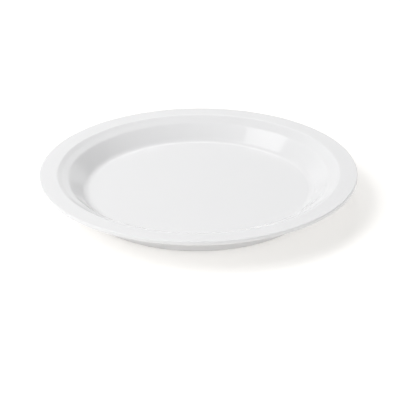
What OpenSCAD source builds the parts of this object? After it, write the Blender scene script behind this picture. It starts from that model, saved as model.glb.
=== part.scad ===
// Round moulded plastic plate with a flat rim, a sloping shoulder, a well and a foot ring.
// The whole plate is one turned section, swept round the Z axis.
// It stands on Z = 0, centred on the origin.

/* [Overall] */
// Diameter over the rim
plate_d = 230; // [180:1:300]
// Height from the table to the top of the rim
plate_h = 23; // [21:0.5:32]

/* [Rim] */
// Width of the land round the rim
land_w = 12.8; // [8:0.1:18]
// Drop across the land, towards the well
land_drop = 0.3; // [0:0.1:0.8]
// Thickness of the rim, seen at its upright edge
rim_t = 2.8; // [2:0.1:4]
// Rounding of the rim's upper edge
rim_top_r = 0.9; // [0.4:0.1:1.5]
// Rounding of the rim's lower edge
rim_low_r = 0.5; // [0.2:0.1:0.8]

/* [Shoulder] */
// Width of the steeper slope at the inner edge of the land
step_w = 3.4; // [2:0.1:5]
// Drop down the steeper slope
step_drop = 1.8; // [1:0.1:3]
// Width of the gentler ledge between that slope and the well
ledge_w = 4.8; // [3:0.1:8]
// Drop across the ledge, towards the well
ledge_drop = 2; // [0.8:0.1:3]
// Rounding where the land turns into the steeper slope
land_edge_r = 3.5; // [1:0.1:6]
// Hollow rounding between the steeper slope and the ledge
step_foot_r = 14; // [4:1:20]
// Rounding of the crest where the ledge turns into the wall
crest_r = 7; // [4:0.5:12]

/* [Well] */
// Depth of the floor below the top of the rim
well_depth = 15; // [12:0.5:18]
// Slope of the well's wall, in degrees from level
wall_slope = 43; // [38:1:60]
// Hollow rounding between the wall and the floor
well_r = 8; // [4:0.5:14]
// Thickness of the shoulder and the wall
wall_t = 2.8; // [2:0.1:3.5]
// Thickness of the floor
floor_t = 3.2; // [2:0.1:4]

/* [Foot] */
// Diameter over the foot ring
foot_d = 173; // [166:0.5:176]
// Width of the foot ring where it stands
foot_w = 5; // [4:0.1:7]
// Slope of the ring's outer face, in degrees from upright
foot_draft = 8; // [0:1:15]
// Rounding of the ring's outer bottom edge
foot_out_r = 2.5; // [0.5:0.1:3]
// Rounding of the ring's inner bottom edge
foot_in_r = 0.8; // [0.3:0.1:1]
// Hollow roundings where the ring meets the underside
foot_root_r = 1.5; // [0.3:0.1:2]
// Diameter of the shallow gate recess under the middle
gate_d = 12; // [6:0.5:30]
// Depth of the gate recess
gate_depth = 0.5; // [0.2:0.1:1]

/* [Hidden] */

// Steps round the whole plate, and steps in each rounded corner of the section
round_steps = 240;
corner_steps = 10;
// Smallest hollow rounding on the underside
least_r = 0.8;
// Largest share of a straight side that one rounding may take
most_share = 0.49;
// Colour of the plastic
white = [0.94, 0.94, 0.95];

// Corners of the upper side, as radius and height
rim_r = plate_d / 2;
land_in = [rim_r - land_w, plate_h - land_drop];
ledge_out = land_in - [step_w, step_drop];
crest = ledge_out - [ledge_w, ledge_drop];
floor_z = plate_h - well_depth;
floor_edge = [crest[0] - (crest[1] - floor_z) / tan(wall_slope), floor_z];

// The underside follows the upper side at the wall's thickness, measured square to each face
land_slope = atan2(land_drop, land_w);
step_slope = atan2(step_drop, step_w);
ledge_slope = atan2(ledge_drop, ledge_w);
under_rim_z = plate_h - rim_t / cos(land_slope);
under_floor_z = floor_z - floor_t;
under_land_in = land_in + [
    wall_t * cos(land_slope) - rim_t * cos(step_slope),
    wall_t * sin(land_slope) - rim_t * sin(step_slope)
] / sin(step_slope - land_slope);
under_ledge_out = ledge_out + shift(step_slope, ledge_slope);
under_crest = crest + shift(ledge_slope, wall_slope);

// The ring's outer face leans out from the foot until it meets the underside of the wall
foot_r = foot_d / 2;
foot_top_z = (under_crest[1] - (under_crest[0] - foot_r) * tan(wall_slope))
           / (1 - tan(foot_draft) * tan(wall_slope));
foot_top = [foot_r + foot_top_z * tan(foot_draft), foot_top_z];

// The section, anticlockwise from the middle of the floor: radius, height and rounding
section = [
    [0, floor_z, 0],
    [0, under_floor_z + gate_depth, 0],
    [gate_d / 2, under_floor_z + gate_depth, 0],
    [gate_d / 2, under_floor_z, 0],
    [foot_r - foot_w, under_floor_z, foot_root_r],
    [foot_r - foot_w, 0, foot_in_r],
    [foot_r, 0, foot_out_r],
    [foot_top[0], foot_top[1], foot_root_r],
    [under_crest[0], under_crest[1], max(crest_r - wall_t, least_r)],
    [under_ledge_out[0], under_ledge_out[1], step_foot_r + wall_t],
    [under_land_in[0], under_land_in[1], max(land_edge_r - wall_t, least_r)],
    [rim_r, under_rim_z, rim_low_r],
    [rim_r, plate_h, rim_top_r],
    [land_in[0], land_in[1], land_edge_r],
    [ledge_out[0], ledge_out[1], step_foot_r],
    [crest[0], crest[1], crest_r],
    [floor_edge[0], floor_edge[1], well_r]
];

// From a corner between two slopes to the same corner of a face one wall thickness below
function shift(outer_slope, inner_slope) =
    let (middle = (outer_slope + inner_slope) / 2,
         half_turn = (inner_slope - outer_slope) / 2)
    wall_t / cos(half_turn) * [sin(middle), -cos(middle)];

function flat(p) = [p[0], p[1]];
function unit(v) = v / norm(v);

// The points that round one corner: the corner itself where its rounding is nothing
function corner(before, at, after) =
    let (p = flat(at),
         to_before = unit(flat(before) - p),
         to_after = unit(flat(after) - p),
         half = acos(to_before * to_after) / 2,
         room = min(norm(flat(before) - p), norm(flat(after) - p)) * most_share,
         reach = min(at[2] / tan(half), room),
         r = reach * tan(half),
         centre = p + unit(to_before + to_after) * r / sin(half),
         from = p + to_before * reach - centre,
         turn = sign(cross(from, p + to_after * reach - centre)) * (180 - 2 * half))
    at[2] == 0 ? [p] :
    [for (i = [0 : corner_steps])
        let (a = turn * i / corner_steps)
        centre + [from[0] * cos(a) - from[1] * sin(a), from[0] * sin(a) + from[1] * cos(a)]];

// The whole outline, corner by corner
function rounded(points) =
    let (count = len(points))
    [for (i = [0 : count - 1])
        each corner(points[(i + count - 1) % count], points[i], points[(i + 1) % count])];

module plate() {
    color(white)
        rotate_extrude($fn = round_steps)
            polygon(rounded(section));
}

plate();
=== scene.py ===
# A white moulded plastic plate on a pale floor: its turned surface, its glossy finish,
# soft studio light and the camera. Lengths of the plate are in millimetres.
import math

import bpy
from mathutils import Matrix, Quaternion, Vector


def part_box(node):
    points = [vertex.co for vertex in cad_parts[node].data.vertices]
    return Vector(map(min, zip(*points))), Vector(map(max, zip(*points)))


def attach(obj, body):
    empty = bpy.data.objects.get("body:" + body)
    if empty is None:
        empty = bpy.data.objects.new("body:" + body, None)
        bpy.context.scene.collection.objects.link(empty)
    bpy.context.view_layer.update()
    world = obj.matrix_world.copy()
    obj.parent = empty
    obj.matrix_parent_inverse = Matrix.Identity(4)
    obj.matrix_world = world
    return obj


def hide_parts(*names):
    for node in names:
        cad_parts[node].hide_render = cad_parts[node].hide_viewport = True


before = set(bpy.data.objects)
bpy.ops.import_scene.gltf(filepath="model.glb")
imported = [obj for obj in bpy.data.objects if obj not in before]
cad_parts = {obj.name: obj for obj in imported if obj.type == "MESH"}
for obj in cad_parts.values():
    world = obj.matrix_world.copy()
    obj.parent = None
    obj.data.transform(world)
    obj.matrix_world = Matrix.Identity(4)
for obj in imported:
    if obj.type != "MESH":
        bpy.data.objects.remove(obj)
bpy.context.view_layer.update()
perMetre = 1000  # millimetres in a metre


# a socket of a node tree, so that shader maths reads as a sum
class Wire:
    def __init__(self, tree, socket):
        self.tree = tree
        self.socket = socket

    def work(self, operation, first, second):
        return self.tree.add("ShaderNodeMath", {"operation": operation}, {0: first, 1: second})

    def __add__(self, other):
        return self.work("ADD", self, other)

    def __radd__(self, other):
        return self.work("ADD", other, self)

    def __sub__(self, other):
        return self.work("SUBTRACT", self, other)

    def __rsub__(self, other):
        return self.work("SUBTRACT", other, self)

    def __mul__(self, other):
        return self.work("MULTIPLY", self, other)

    def __rmul__(self, other):
        return self.work("MULTIPLY", other, self)


# a node tree that is filled one node at a time
class Finish:
    def __init__(self, holder):
        holder.use_nodes = True
        self.nodes = holder.node_tree.nodes
        self.links = holder.node_tree.links
        self.nodes.clear()

    # settings go first, then the values or links of the sockets; gives back one output
    def add(self, kind, settings=None, sockets=None, output=0):
        node = self.nodes.new(kind)
        for name, value in (settings or {}).items():
            setattr(node, name, value)
        for name, value in (sockets or {}).items():
            if isinstance(value, Wire):
                self.links.new(value.socket, node.inputs[name])
            else:
                node.inputs[name].default_value = value
        return Wire(self, node.outputs[output]) if len(node.outputs) else None


# climbs softly from 0 to 1 while the value passes over the span
def climb(value, span):
    return value.tree.add("ShaderNodeMapRange", {"interpolation_type": "SMOOTHSTEP"},
                          {"Value": value, "From Min": span[0], "From Max": span[1]})


# which ray asks: 1 for one straight from the camera, then 1 for one off a gloss or through glass
def askingRays(tree):
    direct = tree.add("ShaderNodeLightPath", output="Is Camera Ray")
    mirrored = tree.add("ShaderNodeLightPath", output="Is Glossy Ray")
    through = tree.add("ShaderNodeLightPath", output="Is Transmission Ray")
    return direct, mirrored + through


# the plate's section, in the same sizes as the solid
plateShape = {
    "landWidth": 12.8,        # land round the rim
    "landDrop": 0.3,
    "rimThickness": 2.8,
    "rimTopRound": 0.9,
    "rimLowRound": 0.5,
    "stepWidth": 3.4,         # steeper slope at the land's inner edge
    "stepDrop": 1.8,
    "ledgeWidth": 4.8,        # gentler slope between it and the well
    "ledgeDrop": 2.0,
    "landEdgeRound": 3.5,
    "stepFootRound": 14.0,
    "crestRound": 7.0,
    "wellDepth": 15.0,
    "wallSlope": 43.0,        # degrees from level
    "wellRound": 8.0,
    "wallThickness": 2.8,
    "floorThickness": 3.2,
    "footDiameter": 173.0,
    "footWidth": 5.0,
    "footDraft": 8.0,         # degrees from upright
    "footOuterRound": 2.5,
    "footInnerRound": 0.8,
    "footRootRound": 1.5,
    "gateDiameter": 12.0,     # shallow recess under the middle
    "gateDepth": 0.5,
    "gateRound": 0.2,
    "gateMarkDiameter": 3.2,  # the sheared-off gate inside the recess
    "gateMarkHeight": 0.25,
    "leastRound": 0.8,        # smallest rounding of the shoulder's underside
    "mostShare": 0.49,        # largest share of a side that one rounding may take
    "turns": 384,             # steps round the plate
    "roundStep": 0.75,        # degrees turned by each step of a rounding
    "fewestSteps": 4,
    "smallRound": 3.0,        # roundings below this radius need
    "smallSteps": 7,          # no more steps than this,
    "mostSteps": 36,          # and the others no more than this
}


# from a corner between two slopes to the same corner of the face one wall thickness below
def underShift(outerSlope, innerSlope, thickness):
    middle = (outerSlope + innerSlope) / 2
    reach = thickness / math.cos((innerSlope - outerSlope) / 2)
    return Vector((math.sin(middle), -math.cos(middle))) * reach


# corners of the section as radius, height and rounding, anticlockwise from the floor's middle
def sectionCorners(size, rimRadius, rimHeight):
    wallSlope = math.radians(size["wallSlope"])
    landIn = Vector((rimRadius - size["landWidth"], rimHeight - size["landDrop"]))
    ledgeOut = landIn - Vector((size["stepWidth"], size["stepDrop"]))
    crest = ledgeOut - Vector((size["ledgeWidth"], size["ledgeDrop"]))
    floorHeight = rimHeight - size["wellDepth"]
    floorEdge = crest.x - (crest.y - floorHeight) / math.tan(wallSlope)
    landSlope = math.atan2(size["landDrop"], size["landWidth"])
    rim = size["rimThickness"]
    underRim = rimHeight - rim / math.cos(landSlope)
    underFloor = floorHeight - size["floorThickness"]
    stepSlope = math.atan2(size["stepDrop"], size["stepWidth"])
    ledgeSlope = math.atan2(size["ledgeDrop"], size["ledgeWidth"])
    wall = size["wallThickness"]
    landUnder = landIn + Vector((
        wall * math.cos(landSlope) - rim * math.cos(stepSlope),
        wall * math.sin(landSlope) - rim * math.sin(stepSlope),
    )) / math.sin(stepSlope - landSlope)
    ledgeUnder = ledgeOut + underShift(stepSlope, ledgeSlope, wall)
    crestUnder = crest + underShift(ledgeSlope, wallSlope, wall)
    footRadius = size["footDiameter"] / 2
    footInner = footRadius - size["footWidth"]
    draft = math.tan(math.radians(size["footDraft"]))
    footTop = crestUnder.y - (crestUnder.x - footRadius) * math.tan(wallSlope)
    footTop /= 1 - draft * math.tan(wallSlope)
    recess = underFloor + size["gateDepth"]
    mark = recess - size["gateMarkHeight"]
    markRadius = size["gateMarkDiameter"] / 2
    gateRadius = size["gateDiameter"] / 2
    gateRound = size["gateRound"]
    return [
        (0, floorHeight, 0),
        (0, mark, 0),
        (markRadius, mark, gateRound / 2),
        (markRadius, recess, gateRound / 2),
        (gateRadius, recess, gateRound),
        (gateRadius, underFloor, gateRound),
        (footInner, underFloor, size["footRootRound"]),
        (footInner, 0, size["footInnerRound"]),
        (footRadius, 0, size["footOuterRound"]),
        (footRadius + footTop * draft, footTop, size["footRootRound"]),
        (crestUnder.x, crestUnder.y, max(size["crestRound"] - wall, size["leastRound"])),
        (ledgeUnder.x, ledgeUnder.y, size["stepFootRound"] + wall),
        (landUnder.x, landUnder.y, max(size["landEdgeRound"] - wall, size["leastRound"])),
        (rimRadius, underRim, size["rimLowRound"]),
        (rimRadius, rimHeight, size["rimTopRound"]),
        (landIn.x, landIn.y, size["landEdgeRound"]),
        (ledgeOut.x, ledgeOut.y, size["stepFootRound"]),
        (crest.x, crest.y, size["crestRound"]),
        (floorEdge, floorHeight, size["wellRound"]),
    ]


# points of the rounded section with the outward direction at each
def roundSection(corners, size):
    points = []
    for number in range(1, len(corners)):
        before = Vector(corners[number - 1][:2])
        at = Vector(corners[number][:2])
        after = Vector(corners[(number + 1) % len(corners)][:2])
        arrive = (at - before).normalized()
        leave = (after - at).normalized()
        if corners[number][2] == 0:
            points.append((at, Vector((leave.y, -leave.x))))
            continue
        turn = math.atan2(arrive.x * leave.y - arrive.y * leave.x, arrive.dot(leave))
        room = size["mostShare"] * min((at - before).length, (after - at).length)
        reach = min(corners[number][2] * math.tan(abs(turn) / 2), room)
        radius = reach / math.tan(abs(turn) / 2)
        side = math.copysign(1, turn)
        outward = Vector((arrive.y, -arrive.x))
        centre = at - arrive * reach - outward * radius * side
        most = size["smallSteps"] if radius < size["smallRound"] else size["mostSteps"]
        steps = round(abs(math.degrees(turn)) / size["roundStep"])
        steps = min(max(steps, size["fewestSteps"]), most)
        for step in range(steps + 1):
            facing = outward.copy()
            facing.rotate(Matrix.Rotation(turn * step / steps, 2))
            points.append((centre + facing * radius * side, facing))
    return points


# sweeps the section round the upright axis, with the surface's true direction kept at each point
def turnPlate(name, points, floorHeight, turns):
    rings = points[1:]
    vertices = [(0, 0, points[0][0].y / perMetre), (0, 0, floorHeight / perMetre)]
    normals = [(0, 0, -1), (0, 0, 1)]
    first = len(vertices)
    last = first + (len(rings) - 1) * turns
    for place, facing in rings:
        for turn in range(turns):
            angle = 2 * math.pi * turn / turns
            across, along = math.cos(angle), math.sin(angle)
            vertices.append((place.x * across / perMetre, place.x * along / perMetre,
                             place.y / perMetre))
            normals.append((facing.x * across, facing.x * along, facing.y))
    faces = []
    for turn in range(turns):
        following = (turn + 1) % turns
        faces.append((0, first + following, first + turn))
        faces.append((1, last + turn, last + following))
        for ring in range(len(rings) - 1):
            low = first + ring * turns
            high = low + turns
            faces.append((low + turn, low + following, high + following, high + turn))
    mesh = bpy.data.meshes.new(name)
    mesh.from_pydata(vertices, [], faces)
    mesh.validate()
    for face in mesh.polygons:
        face.use_smooth = True
    mesh.normals_split_custom_set_from_vertices(normals)
    piece = bpy.data.objects.new(name, mesh)
    bpy.context.scene.collection.objects.link(piece)
    return piece


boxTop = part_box("plate")[1]
plateCorners = sectionCorners(plateShape, boxTop.x * perMetre, boxTop.z * perMetre)
platePoints = roundSection(plateCorners, plateShape)
plate = turnPlate("moulded_plate", platePoints, plateCorners[0][1], plateShape["turns"])
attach(plate, "root")
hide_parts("plate")
print("plate turned,", len(plate.data.polygons), "faces")

# the finish of the moulded plastic; noise scales are per metre
plasticLook = {
    "white": (0.90, 0.90, 0.905, 1),
    "deeper": (0.885, 0.886, 0.893, 1),     # where the melt ran a little denser
    "cloudTone": 0.6,                       # share of the clouds in that difference
    "flowTone": 0.4,                        # share of the flow streaks in it
    "roughness": 0.07,
    "cloudRoughness": 0.03,                 # what the clouds add to it
    "grainRoughness": 0.03,                 # how far the grain spreads it
    "cloud": {"Scale": 22, "Detail": 4},    # broad clouds in the plastic
    "peel": {"Scale": 300, "Detail": 2},    # gentle waves of the skin
    "grain": {"Scale": 2600, "Detail": 2},  # fine grain
    "flow": {"Scale": 1, "Detail": 3},      # streaks that run out from the gate
    "flowCrowd": 16,                        # how closely they stand round the plate
    "flowChange": 25,                       # how fast they change on the way out, per metre
    "flowFade": (0.004, 0.03),              # metres from the middle where they come in
    "peelHeight": 0.4,
    "flowHeight": 0.8,
    "grainHeight": 0.05,
    "relief": 0.000012,                     # metres of height for each 1 of the three above
    "ior": 1.5,
    "bleed": 0.25,                          # share of the light that spreads inside the plastic
    "bleedReach": 0.0015,                   # and how far, in metres
}


def makePlastic(look):
    material = bpy.data.materials.new("white_plastic_gloss")
    tree = Finish(material)
    middle = 0.5  # of what a noise node gives
    place = tree.add("ShaderNodeTexCoord", output="Object")
    flat = tree.add("ShaderNodeVectorMath", {"operation": "MULTIPLY"}, {0: place, 1: (1, 1, 0)})
    reach = tree.add("ShaderNodeVectorMath", {"operation": "LENGTH"}, {0: flat}, output="Value")
    heading = tree.add("ShaderNodeVectorMath", {"operation": "NORMALIZE"}, {0: flat})
    ways = tree.add("ShaderNodeVectorMath", {"operation": "SCALE"},
                    {0: heading, "Scale": look["flowCrowd"]})
    outward = tree.add("ShaderNodeCombineXYZ", sockets={"Z": reach * look["flowChange"]})
    flowPlace = tree.add("ShaderNodeVectorMath", {"operation": "ADD"}, {0: ways, 1: outward})
    flow = tree.add("ShaderNodeTexNoise", sockets={"Vector": flowPlace, **look["flow"]})
    cloud = tree.add("ShaderNodeTexNoise", sockets={"Vector": place, **look["cloud"]})
    peel = tree.add("ShaderNodeTexNoise", sockets={"Vector": place, **look["peel"]})
    grain = tree.add("ShaderNodeTexNoise", sockets={"Vector": place, **look["grain"]})
    streaks = middle + (flow - middle) * climb(reach, look["flowFade"])
    denser = cloud * look["cloudTone"] + streaks * look["flowTone"]
    # a colour mix has its two colours in sockets 6 and 7, and gives the result at output 2
    tone = tree.add("ShaderNodeMix", {"data_type": "RGBA"},
                    {"Factor": denser, 6: look["white"], 7: look["deeper"]}, output=2)
    polish = (look["roughness"] + cloud * look["cloudRoughness"]
              + (grain - middle) * look["grainRoughness"])
    height = (peel * look["peelHeight"] + streaks * look["flowHeight"]
              + grain * look["grainHeight"])
    relief = tree.add("ShaderNodeBump", sockets={
        "Strength": 1, "Distance": look["relief"], "Height": height})
    surface = tree.add("ShaderNodeBsdfPrincipled", sockets={
        "Base Color": tone, "Roughness": polish, "IOR": look["ior"], "Normal": relief,
        "Subsurface Weight": look["bleed"], "Subsurface Radius": (1, 1, 1),
        "Subsurface Scale": look["bleedReach"]})
    tree.add("ShaderNodeOutputMaterial", sockets={"Surface": surface})
    return material


plate.data.materials.append(makePlastic(plasticLook))
print("plastic finish made")

# pale floor: lit from above, and white to the eye away from the plate's shadow
floorLook = {
    "size": 4.0,                      # metres from the middle to an edge
    "drop": 0.00004,                  # a hair below the foot, so the faces don't meet
    "colour": (0.93, 0.922, 0.908, 1),
    "glow": (0.30, 0.295, 0.287, 1),  # its own light, as the eye sees it
    "lift": 0.6,                      # share of that light that reaches the plate
    "farSpan": (0.45, 1.0),           # metres out where it turns into the white backdrop
    "backdrop": (1, 1, 1, 1),
}


def makeFloor(look):
    reach, low = look["size"], -look["drop"]
    mesh = bpy.data.meshes.new("floor")
    mesh.from_pydata([(-reach, -reach, low), (reach, -reach, low), (reach, reach, low),
                      (-reach, reach, low)], [], [(0, 1, 2, 3)])
    floor = bpy.data.objects.new("floor", mesh)
    bpy.context.scene.collection.objects.link(floor)
    material = bpy.data.materials.new("floor_paper")
    tree = Finish(material)
    direct, sentOn = askingRays(tree)
    seen = direct + sentOn
    paper = tree.add("ShaderNodeBsdfDiffuse", sockets={"Color": look["colour"]})
    glow = tree.add("ShaderNodeEmission", sockets={"Color": look["glow"], "Strength": 1})
    faint = tree.add("ShaderNodeEmission", sockets={
        "Color": look["glow"], "Strength": look["lift"]})
    own = tree.add("ShaderNodeMixShader", sockets={0: seen, 1: faint, 2: glow})
    lit = tree.add("ShaderNodeAddShader", sockets={0: paper, 1: own})
    place = tree.add("ShaderNodeTexCoord", output="Object")
    away = tree.add("ShaderNodeVectorMath", {"operation": "LENGTH"}, {0: place}, output="Value")
    far = climb(away, look["farSpan"])
    white = tree.add("ShaderNodeEmission", sockets={"Color": look["backdrop"], "Strength": 1})
    ground = tree.add("ShaderNodeMixShader", sockets={0: far * seen, 1: lit, 2: white})
    # from below the floor isn't there, so that the plate's underside can be looked at
    behind = tree.add("ShaderNodeNewGeometry", output="Backfacing")
    clear = tree.add("ShaderNodeBsdfTransparent")
    sheet = tree.add("ShaderNodeMixShader", sockets={0: behind * direct, 1: ground, 2: clear})
    tree.add("ShaderNodeOutputMaterial", sockets={"Surface": sheet})
    mesh.materials.append(material)


makeFloor(floorLook)
print("floor laid")

# soft studio light: toLamp is the way from the plate to the lamp, across the way its width
# runs, level how bright its face is, and mirrored whether the gloss shows it; metres
lampLook = {
    "window": {"toLamp": (-0.5191, 0.117, 0.8467), "across": (-0.497, 0.789, -0.364),
               "width": 0.695, "height": 0.777, "distance": 1.49, "level": 2.0, "mirrored": True},
    "key": {"toLamp": (-0.645, -0.233, 0.728), "across": (-0.34, 0.94, 0),
            "width": 0.8, "height": 0.8, "distance": 1.3, "level": 2.7, "mirrored": False},
    "strip": {"toLamp": (0, 0.669, 0.743), "across": (1, 0, 0),
              "width": 0.5, "height": 0.68, "distance": 1.6, "level": 1.6, "mirrored": True},
}


def hangLamp(name, look):
    toLamp = Vector(look["toLamp"]).normalized()
    up = toLamp.cross(Vector(look["across"])).normalized()
    across = up.cross(toLamp)
    light = bpy.data.lights.new(name, "AREA")
    light.shape = "RECTANGLE"
    light.size = look["width"]
    light.size_y = look["height"]
    light.energy = look["level"] * math.pi * look["width"] * look["height"]
    lamp = bpy.data.objects.new(name, light)
    lamp.matrix_world = Matrix((across, up, toLamp)).transposed().to_4x4()
    lamp.location = toLamp * look["distance"]
    lamp.visible_camera = False
    lamp.visible_glossy = look["mirrored"]
    bpy.context.scene.collection.objects.link(lamp)


for lampName, lampChoice in lampLook.items():
    hangLamp(lampName, lampChoice)
print("lamps hung")

# the studio round the plate: its even light, and what the gloss mirrors of it. The spans are
# of a direction's part to the right, to the left or upwards, which is 1 when it points there
studioLook = {
    "backdrop": (1, 1, 1, 1),
    "unlit": (0, 0, 0, 1),
    "ambient": 0.537,             # even light on the plate, as a share of the backdrop
    "rightWall": (0.2, 0.55),     # where the dark wall on the right starts and is full
    "rightDepth": 0.95,           # how much darker it is than the white backdrop
    "leftWall": (0.4, 0.7),
    "leftDepth": 0.45,
    "wallFoot": (0.24, 0.44),     # the walls fade in and out between these heights
    "wallTop": (0.58, 0.82),
    "hood": (-0.28, 0.40, 0.87),  # the way to the dim hood round the window
    "hoodSpan": (0.92, 0.985),    # where it starts and is full: 1 would be straight at it
    "hoodDepth": 0.6,
}


def makeWorld(look):
    world = bpy.data.worlds.new("studio")
    bpy.context.scene.world = world
    tree = Finish(world)
    direct, sentOn = askingRays(tree)
    way = tree.add("ShaderNodeTexCoord", output="Generated")
    across = tree.add("ShaderNodeSeparateXYZ", sockets={0: way}, output="X")
    height = tree.add("ShaderNodeSeparateXYZ", sockets={0: way}, output="Z")
    toHood = tree.add("ShaderNodeVectorMath", {"operation": "DOT_PRODUCT"},
                      {0: way, 1: look["hood"]}, output="Value")
    walls = (climb(across, look["rightWall"]) * look["rightDepth"]
             + climb(0 - across, look["leftWall"]) * look["leftDepth"])
    walls = walls * climb(height, look["wallFoot"]) * (1 - climb(height, look["wallTop"]))
    hood = climb(toHood, look["hoodSpan"]) * look["hoodDepth"]
    white = tree.add("ShaderNodeBackground", sockets={"Color": look["backdrop"], "Strength": 1})
    dark = tree.add("ShaderNodeBackground", sockets={"Color": look["unlit"], "Strength": 1})
    even = tree.add("ShaderNodeBackground", sockets={
        "Color": look["backdrop"], "Strength": look["ambient"]})
    studio = tree.add("ShaderNodeMixShader", sockets={0: walls + hood, 1: white, 2: dark})
    around = tree.add("ShaderNodeMixShader", sockets={0: sentOn, 1: even, 2: studio})
    sky = tree.add("ShaderNodeMixShader", sockets={0: direct, 1: around, 2: white})
    tree.add("ShaderNodeOutputWorld", sockets={"Surface": sky})


makeWorld(studioLook)
bpy.context.scene.view_settings.view_transform = "Standard"
print("studio set")

# the camera looks down at the plate from the front; lengths in metres, angles in degrees
cameraLook = {
    "elevation": 26.0,     # above level
    "distance": 1.035,     # to the point it aims at
    "aimHeight": -0.0027,
    "lens": 127.0,         # this and the sensor in millimetres
    "sensorWidth": 36,
    "shiftX": 0.0034,      # as a share of the picture's width
    "roll": -0.35,
    "nearest": 0.05,       # what it can see
    "farthest": 30,
}


def setCamera(look):
    data = bpy.data.cameras.new("camera")
    data.lens = look["lens"]
    data.sensor_width = look["sensorWidth"]
    data.shift_x = look["shiftX"]
    data.clip_start = look["nearest"]
    data.clip_end = look["farthest"]
    camera = bpy.data.objects.new("camera", data)
    tilt = math.radians(look["elevation"])
    back = Vector((0, -math.cos(tilt), math.sin(tilt)))
    camera.location = Vector((0, 0, look["aimHeight"])) + back * look["distance"]
    camera.rotation_mode = "QUATERNION"
    level = (-back).to_track_quat("-Z", "Y")
    camera.rotation_quaternion = level @ Quaternion((0, 0, 1), math.radians(look["roll"]))
    bpy.context.scene.collection.objects.link(camera)
    bpy.context.scene.camera = camera


setCamera(cameraLook)
print("camera set")

bpy.context.view_layer.update()
